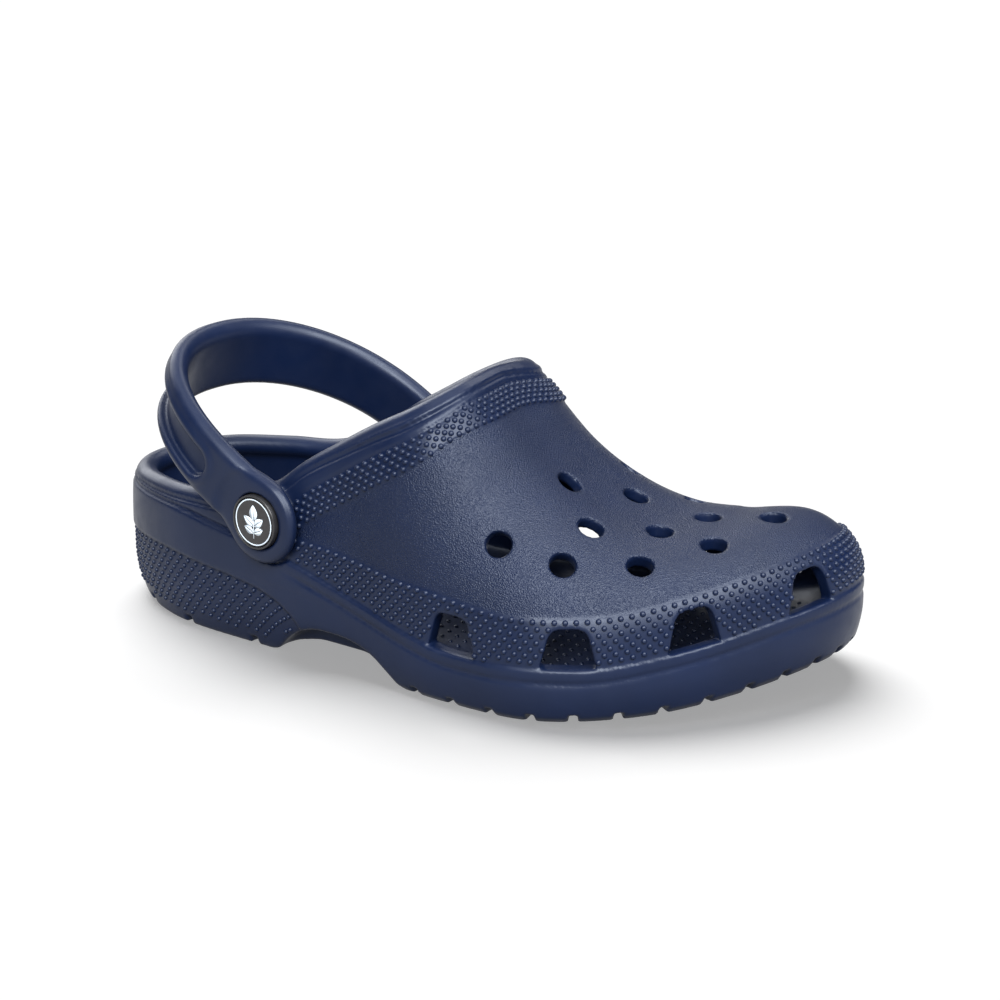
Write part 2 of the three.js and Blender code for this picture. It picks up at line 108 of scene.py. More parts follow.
VENT_RADIUS = 4.5
VENTS = [
    (184, -59), (192, -19), (196, 24), (206, -53.5), (207.5, -34), (208, 2), (222, 24),
    (226, -17), (228.5, -39), (235, 4.5), (243, 30), (246, -16), (257, 12),
]
WINDOW_KNOTS = [5.13, 6.25, 7.35, 8.55, 10.6, 11.75, 12.75, 13.75]
WINDOW_FOOT, WINDOW_HEAD, WINDOW_HEIGHT, WINDOW_DEPTH = 19.5, 12.5, 13.7, 13
GROOVE_RUNS = [(4.7, 14.3, 25), (0.6, 2.8, 4), (16.2, 18.4, 4)]
GROOVE_HALF_WIDTH, GROOVE_DEPTH, GROOVE_LENGTH = 1.7, 3.2, 14
TREAD_PITCH, TREAD_HALF_WIDTH, TREAD_DEPTH, TREAD_SWING = 9, 1.4, 1.8, 3
WAIST = (76, 148)  # the stretch with no tread channels

COLLAR_NUB, FOXING_NUB, FOXING_TOP_NUB, PANEL_NUB, BED_NUB = 1.12, 1.08, 1.16, 1.0, 0.9
COLLAR_NUB_PITCH, FOXING_NUB_PITCH, PANEL_NUB_PITCH = 3.8, 3.9, 4.2
FOXING_ROW_GAP, PANEL_ROW_GAP = 2.3, 2.6
BED_NUB_PITCH = (4.6, 5.3)

SEAT_SPAN = 98.8
SEAT_THICKNESS = 8
BOSS_RADIUS = 11.5
BORE_RADIUS = 4.3
FIT = 0.3
HEAD_RADIUS = 10.2
HEAD_SEAT = 3
BADGE_RADIUS = 9

LOBE_RADIUS = 16.5
STRAP_THICKNESS = 6.3
STRAP_WIDTH = 22
STRAP_LEAN = math.radians(31.3)
STRAP_LENGTH = (76.2, 83.4)
STRAP_HALF_WIDTH = (56.9, 56.5)
STRAP_DRIFT = -9.8
STRAP_STRAIGHT = 18
STRAP_POWER = 2.18
STRAP_HALF_SPAN = SEAT_SPAN / 2 + FIT + STRAP_THICKNESS
SLOT_END, SLOT_HALF_WIDTH, SLOT_DEPTH = 33.8, 5.4, 2.2
SLOT_LIP = 0.7

PITCH = 0.8


# ------------------------------------------------------------------ curves and fields
def through(knots):
    """A smooth curve through (distance, value) knots, flat at turning points."""
    xs, ys = np.array(knots, float).T
    gap = np.diff(xs)
    rise = np.diff(ys) / gap
    slope = np.empty_like(ys)
    slope[0], slope[-1] = rise[0], rise[-1]
    mixed = (rise[1:] * gap[:-1] + rise[:-1] * gap[1:]) / (gap[:-1] + gap[1:])
    slope[1:-1] = np.where(rise[1:] * rise[:-1] <= 0, 0, mixed)

    def curve(x):
        x = np.clip(x, xs[0], xs[-1])
        k = np.clip(np.searchsorted(xs, x, side="right") - 1, 0, len(gap) - 1)
        t = (x - xs[k]) / gap[k]
        t2, t3 = t * t, t * t * t
        return (
            (2 * t3 - 3 * t2 + 1) * ys[k] + (t3 - 2 * t2 + t) * gap[k] * slope[k]
            + (3 * t2 - 2 * t3) * ys[k + 1] + (t3 - t2) * gap[k] * slope[k + 1]
        )

    return curve


def outline_point(knot):
    """Point and tangent of the closed plan outline at a place counted in knots."""
    count = len(OUTLINE)
    k = int(math.floor(knot))
    t = knot - k
    p0, p1, p2, p3 = (np.array(OUTLINE[(k + j) % count], float) for j in (-1, 0, 1, 2))
    m1, m2 = (p2 - p0) / 2, (p3 - p1) / 2
    point = ((2 * t**3 - 3 * t**2 + 1) * p1 + (t**3 - 2 * t**2 + t) * m1
             + (3 * t**2 - 2 * t**3) * p2 + (t**3 - t**2) * m2)
    tangent = ((6 * t**2 - 6 * t) * p1 + (3 * t**2 - 4 * t + 1) * m1
               + (6 * t - 6 * t**2) * p2 + (3 * t**2 - 2 * t) * m2)
    return point, tangent / np.linalg.norm(tangent)


SAMPLES_PER_KNOT = 16
outline = np.array([outline_point(k / SAMPLES_PER_KNOT)[0]
                    for k in range(len(OUTLINE) * SAMPLES_PER_KNOT)])
outline_step = np.roll(outline, -1, 0) - outline
outline_run = np.concatenate([[0], np.cumsum(np.hypot(*outline_step.T))])


def edge_distance(x, y):
    """Distance inside the outline (negative outside) and the run along it to the nearest place."""
    x, y = np.asarray(x, float), np.asarray(y, float)
    best = np.full(x.shape, 1e12)
    run = np.zeros(x.shape)
    inside = np.zeros(x.shape, bool)
    for k, (a, step) in enumerate(zip(outline, outline_step)):
        length = math.hypot(*step)
        t = np.clip(((x - a[0]) * step[0] + (y - a[1]) * step[1]) / length**2, 0, 1)
        square = (x - a[0] - t * step[0]) ** 2 + (y - a[1] - t * step[1]) ** 2
        near = square < best
        best = np.where(near, square, best)
        run = np.where(near, outline_run[k] + t * length, run)
        if step[1]:
            crosses = (a[1] > y) != (a[1] + step[1] > y)
            inside ^= crosses & (x < a[0] + step[0] * (y - a[1]) / step[1])
    return np.where(inside, 1, -1) * np.sqrt(best), run


def smooth_min(a, b, k):
    h = np.clip(0.5 + 0.5 * (b - a) / k, 0, 1)
    return b + (a - b) * h - k * h * (1 - h)


def smooth_max(a, b, k):
    return -smooth_min(-a, -b, k)


def smooth_step(low, high, value):
    t = np.clip((value - low) / (high - low), 0, 1)
    return t * t * (3 - 2 * t)


def as_distance(field, pitch):
    """A field scaled so that it counts millimetres near its zero surface."""
    gx, gy, gz = np.gradient(field, pitch)
    return field / np.sqrt(gx * gx + gy * gy + gz * gz + 1e-4)


def sample(field, low, pitch, points):
    """Trilinear value and gradient of a field at points."""
    g = np.clip((points - low) / pitch, 0, np.array(field.shape) - 1.001)
    i = g.astype(int)
    f = g - i
    c = [[[field[i[:, 0] + a, i[:, 1] + b, i[:, 2] + d] for d in (0, 1)] for b in (0, 1)]
         for a in (0, 1)]
    fx, fy, fz = f.T

    def mix(u, v, t):
        return u + (v - u) * t

    z00, z01 = mix(c[0][0][0], c[0][0][1], fz), mix(c[0][1][0], c[0][1][1], fz)
    z10, z11 = mix(c[1][0][0], c[1][0][1], fz), mix(c[1][1][0], c[1][1][1], fz)
    y0, y1 = mix(z00, z01, fy), mix(z10, z11, fy)
    value = mix(y0, y1, fx)
    dx = y1 - y0
    dy = mix(z01 - z00, z11 - z10, fx)
    dz = mix(mix(c[0][0][1] - c[0][0][0], c[0][1][1] - c[0][1][0], fy),
             mix(c[1][0][1] - c[1][0][0], c[1][1][1] - c[1][1][0], fy), fx)
    return value, np.stack([dx, dy, dz], 1) / pitch


def surface(field, low, pitch, rounds=3):
    """Vertices and quads of the zero surface of a field that is negative inside."""
    inside = field < 0
    nx, ny, nz = field.shape
    count = np.zeros((nx - 1, ny - 1, nz - 1), np.uint8)
    for a in (0, 1):
        for b in (0, 1):
            for c in (0, 1):
                count += inside[a:nx - 1 + a, b:ny - 1 + b, c:nz - 1 + c]
    active = (count > 0) & (count < 8)
    number = np.full(active.shape, -1, np.int64)
    number[active] = np.arange(active.sum())
    cells = np.argwhere(active)
    total = np.zeros((len(cells), 3))
    hits = np.zeros(len(cells))
    for axis in range(3):
        for first in (0, 1):
            for second in (0, 1):
                start = np.zeros(3, int)
                start[(axis + 1) % 3], start[(axis + 2) % 3] = first, second
                end = start.copy()
                end[axis] = 1
                u = field[tuple((cells + start).T)]
                v = field[tuple((cells + end).T)]
                cut = (u < 0) != (v < 0)
                t = u[cut] / (u[cut] - v[cut])
                place = np.repeat(start[None].astype(float), cut.sum(), 0)
                place[:, axis] = t
                total[cut] += place
                hits[cut] += 1
    points = low + pitch * (cells + total / hits[:, None])
    quads = []
    for axis in range(3):
        ahead = [slice(None)] * 3
        behind = [slice(None)] * 3
        ahead[axis], behind[axis] = slice(1, None), slice(None, -1)
        change = inside[tuple(behind)] != inside[tuple(ahead)]
        places = np.argwhere(change)
        b, c = (axis + 1) % 3, (axis + 2) % 3
        places = places[(places[:, b] > 0) & (places[:, c] > 0)]
        limit = np.array(active.shape)
        places = places[(places[:, b] < limit[b]) & (places[:, c] < limit[c])]
        back_b, back_c = np.zeros(3, int), np.zeros(3, int)
        back_b[b] = back_c[c] = 1
        ring = [places - back_b - back_c, places - back_c, places, places - back_b]
        quad = np.stack([number[tuple(r.T)] for r in ring], 1)
        flip = ~inside[tuple(places.T)]
        quad[flip] = quad[flip][:, ::-1]
        quads.append(quad)
    for _ in range(rounds):
        value, slope = sample(field, low, pitch, points)
        square = np.maximum((slope**2).sum(1), 0.05)
        move = -slope * (value / square)[:, None]
        points = points + np.clip(move, -0.4 * pitch, 0.4 * pitch)
    return points, np.concatenate(quads)


def blurred(plane, width):
    """A plane of readings with its creases spread over a width counted in cells."""
    reach = int(3 * width)
    weights = np.exp(-0.5 * (np.arange(-reach, reach + 1) / width) ** 2)
    weights /= weights.sum()
    for _ in range(2):
        wide = np.pad(plane, ((reach, reach), (0, 0)), mode="edge")
        plane = sum(w * wide[k:k + plane.shape[0]] for k, w in enumerate(weights)).T
    return plane


def grid(low, high, pitch):
    low = np.array(low, float)
    axes = [np.arange(low[k], high[k] + pitch, pitch) for k in range(3)]
    return low, axes


ground_lift = through(GROUND_LIFT)
parting_height = through(PARTING_HEIGHT)
ridge_height = through(RIDGE_HEIGHT)
dome_reach = through(DOME_REACH)
dome_power = through(DOME_POWER)
topline_height = through(TOPLINE_HEIGHT)
footbed_height = through(FOOTBED_HEIGHT)
stripe_top = through(STRIPE_TOP)
stripe_bottom = through(STRIPE_BOTTOM)
foxing_height = through(FOXING_HEIGHT)
arch_top = through(ARCH_TOP)

# ------------------------------------------------------------------ places from the CAD frame
body_low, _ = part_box("clog_body")
to_frame = np.array([body_low[0] / MM - outline[:, 0].min(),
                     body_low[1] / MM - outline[:, 1].min(), 0])
strap_joint = next(j for j in frame["joints"] if j["name"] == "strap_swing")
hinge = np.array(strap_joint["pos_m"]) / MM
axis = np.array(strap_joint["axis"], float)
axis /= np.linalg.norm(axis)
hinge_shop = hinge - to_frame


def in_metres(points):
    return (np.asarray(points) + to_frame) * MM


def make_mesh(name, points, faces, smooth=True):
    """A mesh object from vertices in metres and faces of three or four corners."""
    faces = np.asarray(faces)
    mesh = bpy.data.meshes.new(name)
    mesh.vertices.add(len(points))
    mesh.vertices.foreach_set("co", np.asarray(points, np.float32).ravel())
    corners = faces.shape[1]
    mesh.loops.add(faces.size)
    mesh.loops.foreach_set("vertex_index", faces.astype(np.int32).ravel())
    mesh.polygons.add(len(faces))
    mesh.polygons.foreach_set("loop_start", np.arange(0, faces.size, corners, dtype=np.int32))
    mesh.polygons.foreach_set("loop_total", np.full(len(faces), corners, np.int32))
    mesh.update(calc_edges=True)
    mesh.polygons.foreach_set("use_smooth", np.full(len(faces), smooth))
    mesh.validate()
    piece = bpy.data.objects.new(name, mesh)
    bpy.context.collection.objects.link(piece)
    return piece


# ------------------------------------------------------------------ clog body
low, (gx, gy, gz) = grid((-4, -74, -3), (289, 56, 110), PITCH)
X, Y, Z = gx[:, None, None], gy[None, :, None], gz[None, None, :]
edge, run = edge_distance(*np.meshgrid(gx, gy, indexing="ij"))
crown = smooth_step(10, 24, edge)
edge = edge * (1 - crown) + blurred(edge, 5 / PITCH) * crown
D = edge[:, :, None].astype(np.float32)


def profile(curve):
    return curve(gx)[:, None, None].astype(np.float32)


parting = profile(parting_height)
lift = profile(ground_lift)


def form(wall, floor, inset_knots, floor_blend):
    """The outside of the clog, or with the wall taken off, the foot room."""
    power = profile(dome_power)
    rise = profile(ridge_height) - wall - parting
    outward = np.clip(1 - (D - wall) / (profile(dome_reach) - wall), 0, None)
    upward = np.clip((Z - parting) / rise, 0, None).astype(np.float32)
    dome = as_distance((outward**power + upward**power) ** (1 / power) - 1, PITCH)
    share = (Z - floor) / (parting - floor)
    inset = through(inset_knots)(share).astype(np.float32)
    side = smooth_max(inset - D, floor - Z, floor_blend)
    return np.where(Z > parting, dome, side).astype(np.float32)


outer = form(0, lift, SOLE_INSET, 0.8)
room = form(WALL, profile(footbed_height), FOOTBED_INSET, 4)

tilt = RIM_TILT[0] + (RIM_TILT[1] - RIM_TILT[0]) * smooth_step(-16, 26, Y)
rim_rise = np.clip((X - RIM_RISE_START) / RIM_RISE_RUN, 0, RIM_RISE_MOST) ** 2
topline = profile(topline_height) + tilt * rim_rise
topline_slope = np.gradient(topline_height(gx), PITCH)[:, None, None]
below_rim = ((topline - Z) / np.sqrt(1 + topline_slope**2)).astype(np.float32)
below_rim = np.broadcast_to(below_rim, outer.shape)
oa, ob, oc = np.gradient(outer, PITCH)
steepness = np.sqrt(oa * oa + ob * ob + oc * oc) + 1e-3
lean = (oa * topline_slope - oc) / steepness / np.sqrt(1 + topline_slope**2)
lean = lean.astype(np.float32)
del oa, ob, oc, steepness
square_on = np.clip(1 - lean * lean, 0.3, 1)
from_rim = below_rim + 2 * smooth_step(153, 168, X)

# Relief on the outside: collar, foxing band, stripe and heel panel.
foxing_top = parting + profile(foxing_height)
step = profile(stripe_top)
collar = RAISE_COLLAR * (1 - smooth_step(COLLAR_BAND[1] - 0.4, COLLAR_BAND[1] + 0.7, from_rim))
front = smooth_step(80, 100, X)
foxing = RAISE_FOXING * (1 - smooth_step(-0.5, 0.9, Z - foxing_top)) * front
rear = RAISE_REAR * (1 - front)
stripe = 1 - smooth_step(-0.5, 0.5, Z - step)
relief = np.maximum(np.maximum(collar, foxing), rear)
relief = relief + (RAISE_STRIPE - relief) * stripe
panel = 1 - smooth_step(-0.6, 0.6, Z - profile(stripe_bottom))
relief = relief + (RAISE_PANEL - relief) * panel
line = np.exp(-(((Z - step + SIDE_LINE_DROP) / SIDE_LINE_HALF_WIDTH) ** 2))
line = line * smooth_step(90, 105, X)
relief = relief - SIDE_LINE_DEPTH * line
hollow = np.exp(-(((from_rim - COLLAR_BAND[0] + 0.7) / 0.6) ** 2)) * (Z > step)
ledge = np.exp(-(((Z - step - 0.6) / 0.8) ** 2)) * (1 - front)
relief = relief - LEDGE_DEPTH * ledge - COLLAR_EDGE_DEPTH * hollow * front
relief = relief * smooth_step(0, 2.5, Z - lift)
skin = (outer - relief).astype(np.float32)
del collar, foxing, stripe, panel, line, hollow, ledge, relief

body = np.maximum(skin, -room)
body = np.maximum(body, BEAD_RADIUS - below_rim)
a = outer + WALL / 2 + BEAD_INWARD
b = below_rim - BEAD_RADIUS
bead = np.sqrt(np.maximum(a * a + b * b - 2 * a * b * lean, 0) / square_on) - BEAD_RADIUS
body = smooth_min(body, bead, 2.2)
crease_at = CREASE_DROP + CREASE_DROP_MORE * smooth_step(95, 150, X)
crease = np.sqrt((outer - CREASE_OUT) ** 2 + (below_rim - crease_at) ** 2) - CREASE_RADIUS
crease = crease + 0.5 * smooth_step(150, 164, X)
crease = np.maximum(crease, step + 2 - Z)
body = smooth_max(body, -crease, 0.6)
del a, b, bead, crease


def window_of(low_corner, high_corner):
    """Slices of the grid between two corners."""
    cut = []
    for k in range(3):
        first = int(max(0, (low_corner[k] - low[k]) / PITCH))
        last = int(min(body.shape[k], (high_corner[k] - low[k]) / PITCH + 2))
        cut.append(slice(first, last))
    return tuple(cut)


def place_on_grid(cut):
    return gx[cut[0]][:, None, None], gy[cut[1]][None, :, None], gz[cut[2]][None, None, :]


# Seats, bosses and bores of the two rivets.
for side in (-1, 1):
    centre = hinge_shop + axis * side * SEAT_SPAN / 2
    cut = window_of(centre - 30, centre + 30)
    x, y, z = place_on_grid(cut)
    along = ((x - hinge_shop[0]) * axis[0] + (y - hinge_shop[1]) * axis[1]) * side
    across = np.sqrt(((x - hinge_shop[0]) * axis[1] - (y - hinge_shop[1]) * axis[0]) ** 2
                     + (z - hinge_shop[2]) ** 2)
    face, back = SEAT_SPAN / 2, SEAT_SPAN / 2 - SEAT_THICKNESS
    part = body[cut]
    boss = smooth_max(across - BOSS_RADIUS, np.maximum(along - face - 1, back - 1 - along), 1)
    part = smooth_min(part, boss, 2)
    part = np.maximum(part, -np.maximum(across - LOBE_RADIUS - 1, face - along))
    part = np.maximum(part, -np.maximum(across - BOSS_RADIUS - 1, along - back))
    part = smooth_max(part, -(across - BORE_RADIUS), 0.5)
    body[cut] = part

# Vent holes, square to the dome, with a softened edge.
for vent_x, vent_y in VENTS:
    column = np.array([[vent_x, vent_y, z] for z in np.arange(20, 108, 0.5)])
    value, slope = sample(outer, low, PITCH, column)
    k = np.nonzero(value > 0)[0][0]
    centre = column[k]
    square = slope[k] / np.linalg.norm(slope[k])
    cut = window_of(centre - 17, centre + 17)
    x, y, z = place_on_grid(cut)
    q = np.stack(np.broadcast_arrays(x - centre[0], y - centre[1], z - centre[2]), -1)
    along = q @ square
    across = np.sqrt(np.maximum((q * q).sum(-1) - along**2, 0))
    hole = np.maximum(across - VENT_RADIUS, np.abs(along) - 11)
    body[cut] = smooth_max(body[cut], -hole, 1.0)

# Windows in the foxing band.
for knot in WINDOW_KNOTS:
    point, tangent = outline_point(knot)
    outward = np.array([tangent[1], -tangent[0]])
    foot = stripe_top(point[0]) + 0.4
    corner = np.array([point[0], point[1], foot])
    cut = window_of(corner - (22, 22, 4), corner + (22, 22, 20))
    x, y, z = place_on_grid(cut)
    along = np.abs((x - point[0]) * tangent[0] + (y - point[1]) * tangent[1])
    out = (x - point[0]) * outward[0] + (y - point[1]) * outward[1]
    foot_here = stripe_top(x) + 0.4
    share = (z - foot_here) / WINDOW_HEIGHT
    half = (WINDOW_FOOT + (WINDOW_HEAD - WINDOW_FOOT) * share) / 2
    shape = smooth_max(along - half, z - foot_here - WINDOW_HEIGHT, 4)
    shape = np.maximum(shape, foot_here - z)
    hole = np.maximum(shape, -out - WINDOW_DEPTH)
    body[cut] = smooth_max(body[cut], -hole, 0.9)

# Hollows under the arch, notches round the edge of the tread and wavy channels across it.
arch = smooth_max(D - ARCH_DEPTH, Z - profile(arch_top), 4)
arch = np.maximum(arch, np.maximum(ARCH_SPAN[0] - X, X - ARCH_SPAN[1]))
body = smooth_max(body, -arch, 1.5)
knots = np.concatenate([np.linspace(*stretch) for stretch in GROOVE_RUNS])
marks = np.interp(knots * SAMPLES_PER_KNOT, np.arange(len(outline_run)), outline_run)
gap = np.min(np.abs(run[:, :, None] - marks[None, None, :]), axis=2)[:, :, None]
notch = smooth_max(gap - GROOVE_HALF_WIDTH, Z - lift - GROOVE_DEPTH, 1)
notch = np.maximum(notch, D - GROOVE_LENGTH)
body = smooth_max(body, -notch, 0.8)
wave = (X + TREAD_SWING * np.sin(Y / TREAD_SWING * 0.4)) / TREAD_PITCH
channel = np.abs(wave - np.round(wave)) * TREAD_PITCH - TREAD_HALF_WIDTH
channel = np.maximum(channel, np.maximum(Z - lift - TREAD_DEPTH, GROOVE_LENGTH + 2 - D))
channel = np.maximum(channel, np.minimum(X - WAIST[0], WAIST[1] - X))
body = smooth_max(body, -channel, 0.8)
del arch, notch, channel

points, quads = surface(body, low, PITCH)

# ------------------------------------------------------------------ moulded nubs
NUB_SIDES = 8
NUB_HEIGHT = 0.85  # of the radius
NUB_PROFILE = [(1.0, -0.35), (0.86, 0.5), (0.5, 0.88)]


def contour(verts, tris, value, level):
    """Chains of points where a per-vertex value crosses a level."""
    above = value[tris] > level
    mixed = above.any(1) & ~above.all(1)
    tris, above = tris[mixed], above[mixed]
    links = {}
    where = {}
    for tri, over in zip(tris.tolist(), above.tolist()):
        ends = []
        for j in range(3):
            p, q = tri[j], tri[(j + 1) % 3]
            if over[j] != over[(j + 1) % 3]:
                key = (min(p, q), max(p, q))
                if key not in where:
                    t = (level - value[key[0]]) / (value[key[1]] - value[key[0]])
                    where[key] = verts[key[0]] * (1 - t) + verts[key[1]] * t
                ends.append(key)
        links.setdefault(ends[0], []).append(ends[1])
        links.setdefault(ends[1], []).append(ends[0])
    chains = []
    left = set(links)
    starts = sorted(k for k in links if len(links[k]) == 1) + sorted(links)
    for start in starts:
        if start not in left:
            continue
        chain, here = [], start
        while here is not None:
            left.discard(here)
            chain.append(where[here])
            here = next((n for n in links[here] if n in left), None)
        chains.append(np.array(chain))
    return chains


def spaced(chain, ruler, pitch, phase):
    """Points of a chain at even readings of a ruler."""
    if ruler[0] > ruler[-1]:
        chain, ruler = chain[::-1], ruler[::-1]
    ruler = np.maximum.accumulate(ruler)
    reading = np.arange(math.ceil((ruler[0] - phase) / pitch), (ruler[-1] - phase) / pitch)
    reading = reading * pitch + phase
    return np.stack([np.interp(reading, ruler, chain[:, k]) for k in range(3)], 1)


def nubs_on(places, normals, radii):
    """Small domes standing on a surface, as vertices and faces."""
    turn = 2 * np.pi * np.arange(NUB_SIDES) / NUB_SIDES
    rings = [np.stack([r * np.cos(turn), r * np.sin(turn),
                       np.full(NUB_SIDES, h * NUB_HEIGHT)], 1) for r, h in NUB_PROFILE]
    shape = np.concatenate(rings + [np.array([[0, 0, NUB_HEIGHT]])])
    faces = []
    for ring in range(len(rings) - 1):
        for j in range(NUB_SIDES):
            p, q = ring * NUB_SIDES + j, ring * NUB_SIDES + (j + 1) % NUB_SIDES
            faces.append((p, q, q + NUB_SIDES, p + NUB_SIDES))
    top = (len(rings) - 1) * NUB_SIDES
    for j in range(0, NUB_SIDES, 2):
        faces.append((top + j, top + j + 1, top + (j + 2) % NUB_SIDES, len(shape) - 1))
    helper = np.where(np.abs(normals[:, 2:3]) < 0.8, [[0, 0, 1.0]], [[1.0, 0, 0]])
    u = np.cross(helper, normals)
    u /= np.linalg.norm(u, axis=1, keepdims=True)
    v = np.cross(normals, u)
    frames = np.stack([u, v, normals], 1) * radii[:, None, None]
    all_points = places[:, None, :] + np.einsum("pk,nkc->npc", shape, frames)
    all_faces = np.array(faces)[None] + (np.arange(len(places)) * len(shape))[:, None, None]
    return all_points.reshape(-1, 3), all_faces.reshape(-1, 4)


tris = np.concatenate([quads[:, [0, 1, 2]], quads[:, [0, 2, 3]]])
on_skin, _ = sample(skin, low, PITCH, points)
rim_reading, _ = sample(from_rim.astype(np.float32), low, PITCH, points)
skin_points = np.abs(on_skin) < 0.3
bx, by, bz = points.T
behind = bx < hinge_shop[0] + (by - hinge_shop[1]) * axis[0] / axis[1] + 12
skin_tris = tris[skin_points[tris].all(1)]
nub_places, nub_sizes = [], []


def rows(region, value, levels, pitch, ruler_of, radius, first_radius):
    """Nubs along each level of a reading, with every second row half a pitch on."""
    chosen = skin_tris[region[skin_tris].all(1)]
    for number, level in enumerate(levels):
        for chain in contour(points, chosen, value, level):
            if len(chain) > 4:
                found = spaced(chain, ruler_of(chain), pitch, (number % 2) * pitch / 2)
                nub_places.append(found)
                nub_sizes.append(np.full(len(found), first_radius if number == 0 else radius))


def run_of(chain):
    """A ruler that reads the run along the plan outline."""
    return edge_distance(chain[:, 0], chain[:, 1])[1]


def run_round_heel(chain):
    """The same ruler, unbroken round the back of the heel."""
    along = run_of(chain)
    return np.where(along > outline_run[-1] / 2, along - outline_run[-1], along)


def beside(guide):
    """A ruler that reads the length along a guide chain at its nearest point."""
    length = np.concatenate([[0], np.cumsum(np.linalg.norm(np.diff(guide, axis=0), axis=1))])

    def ruler(chain):
        away = ((chain[:, None, :] - guide[None, ::2, :]) ** 2).sum(2)
        nearest = length[::2][np.argmin(away, axis=1)]
        weights = np.ones(9) / 9
        ends = np.concatenate([nearest[:1].repeat(4), nearest, nearest[-1:].repeat(4)])
        return np.convolve(ends, weights, "valid")

    return ruler


rim_rows = np.linspace(COLLAR_BAND[0] + 0.3, COLLAR_BAND[1] - 0.9, 5)
collar_zone = (rim_reading > 8) & ~behind & (bz > 50)
guides = contour(points, skin_tris[collar_zone[skin_tris].all(1)], rim_reading, rim_rows[2])
along_rim = beside(max(guides, key=len))
rows(collar_zone, rim_reading, rim_rows, COLLAR_NUB_PITCH, along_rim, COLLAR_NUB, COLLAR_NUB)
foxing_edge = parting_height(bx) + foxing_height(bx)
above_step = bz > stripe_top(bx) + 1.3
rows(above_step & ~behind, foxing_edge - bz, 1.1 + FOXING_ROW_GAP * np.arange(9),
     FOXING_NUB_PITCH, run_of, FOXING_NUB, FOXING_TOP_NUB)
panel = (bx < 97) & (bz > ground_lift(bx) + 5)
rows(panel, stripe_bottom(bx) - bz, 1.9 + PANEL_ROW_GAP * np.arange(9),
     PANEL_NUB_PITCH, run_round_heel, PANEL_NUB, PANEL_NUB)

# A nub stays only where the skin carries on all round it.
places = np.concatenate(nub_places)
_, normals = sample(skin, low, PITCH, places)
normals /= np.linalg.norm(normals, axis=1, keepdims=True)
solid, _ = sample(body, low, PITCH, places)
level_way = np.cross(normals, [0, 0, 1.0])
level_way /= np.linalg.norm(level_way, axis=1, keepdims=True)
slope_way = np.cross(level_way, normals)
clear = np.abs(solid) < 0.4
for way in (level_way, -level_way, slope_way, -slope_way):
    beyond, _ = sample(body, low, PITCH, places + way * 1.3)
    clear &= np.abs(beyond) < 0.6
nub_points, nub_faces = nubs_on(places[clear], normals[clear], np.concatenate(nub_sizes)[clear])

# Footbed nubs on a staggered grid.
fx, fy = np.meshgrid(np.arange(12, 276, BED_NUB_PITCH[0]),
                     np.arange(-64, 50, BED_NUB_PITCH[1]), indexing="ij")
fy = fy + BED_NUB_PITCH[1] / 2 * (np.arange(fx.shape[0]) % 2)[:, None]
fx, fy = fx.ravel(), fy.ravel()
flat = edge_distance(fx, fy)[0] > WALL + 10
fx, fy = fx[flat], fy[flat]
bed = np.stack([fx, fy, footbed_height(fx)], 1)
_, bed_normals = sample(-room, low, PITCH, bed)
bed_normals /= np.linalg.norm(bed_normals, axis=1, keepdims=True)
bed_points, bed_faces = nubs_on(bed, bed_normals, np.full(len(bed), BED_NUB))

all_points = np.concatenate([points, nub_points, bed_points])
nubs_first, bed_first = len(points), len(points) + len(nub_points)
all_faces = np.concatenate([quads, nub_faces + nubs_first, bed_faces + bed_first])
clog = make_mesh("foam_body", in_metres(all_points), all_faces)
above_foxing = smooth_step(-0.2, 1.2, bz - foxing_edge)
below_collar = smooth_step(COLLAR_BAND[1] - 0.2, COLLAR_BAND[1] + 1, rim_reading)
vamp = above_foxing * below_collar * skin_points * (bx > 80)
no_grain = np.zeros(len(all_points) - len(points))
grain = clog.data.attributes.new("grain", "FLOAT", "POINT")
grain.data.foreach_set("value", np.concatenate([vamp, no_grain]).astype(np.float32))
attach(clog, "clog")
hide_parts("clog_body")

# ------------------------------------------------------------------ heel strap
# Its own frame: x forward, y along the rivet line, z up, from the middle of the rivet line.
STRAP_PITCH = 0.7
s_low, (sx, sy, sz) = grid((-78, -60, -20), (20, 60, 62), STRAP_PITCH)
SX, SY, SZ = sx[:, None, None], sy[None, :, None], sz[None, None, :]
reach = -SX * math.cos(STRAP_LEAN) + SZ * math.sin(STRAP_LEAN)
level = SX * math.sin(STRAP_LEAN) + SZ * math.cos(STRAP_LEAN)
share = np.clip(level / STRAP_WIDTH + 0.5, -0.2, 1.2)
length = STRAP_LENGTH[0] + (STRAP_LENGTH[1] - STRAP_LENGTH[0]) * share
half = STRAP_HALF_WIDTH[0] + (STRAP_HALF_WIDTH[1] - STRAP_HALF_WIDTH[0]) * share
half = STRAP_HALF_SPAN + (half - STRAP_HALF_SPAN) * smooth_step(0, STRAP_STRAIGHT, reach)
sideways = np.abs(SY - STRAP_DRIFT * (np.clip(reach, 0, None) / length) ** 2)
past = np.clip((reach - STRAP_STRAIGHT) / (length - STRAP_STRAIGHT), 0, None)
loop = (past**STRAP_POWER + (sideways / half) ** STRAP_POWER) ** (1 / STRAP_POWER) - 1
loop = as_distance(loop, STRAP_PITCH)
slot = np.where(reach > SLOT_END, np.abs(level), np.sqrt((reach - SLOT_END) ** 2 + level**2))
slot = slot - SLOT_HALF_WIDTH
swell = SLOT_LIP * np.exp(-(((slot - 1.9) / 1.7) ** 2)) * smooth_step(16, 24, reach)
middle = np.maximum(loop - swell, -loop - STRAP_THICKNESS)
band = smooth_max(middle, np.abs(level - 1.2) - STRAP_WIDTH / 2 - 1.8, 4.5)
band = smooth_max(band, -reach, 2)
panel = smooth_max(slot, -(loop + SLOT_DEPTH), 1.2)
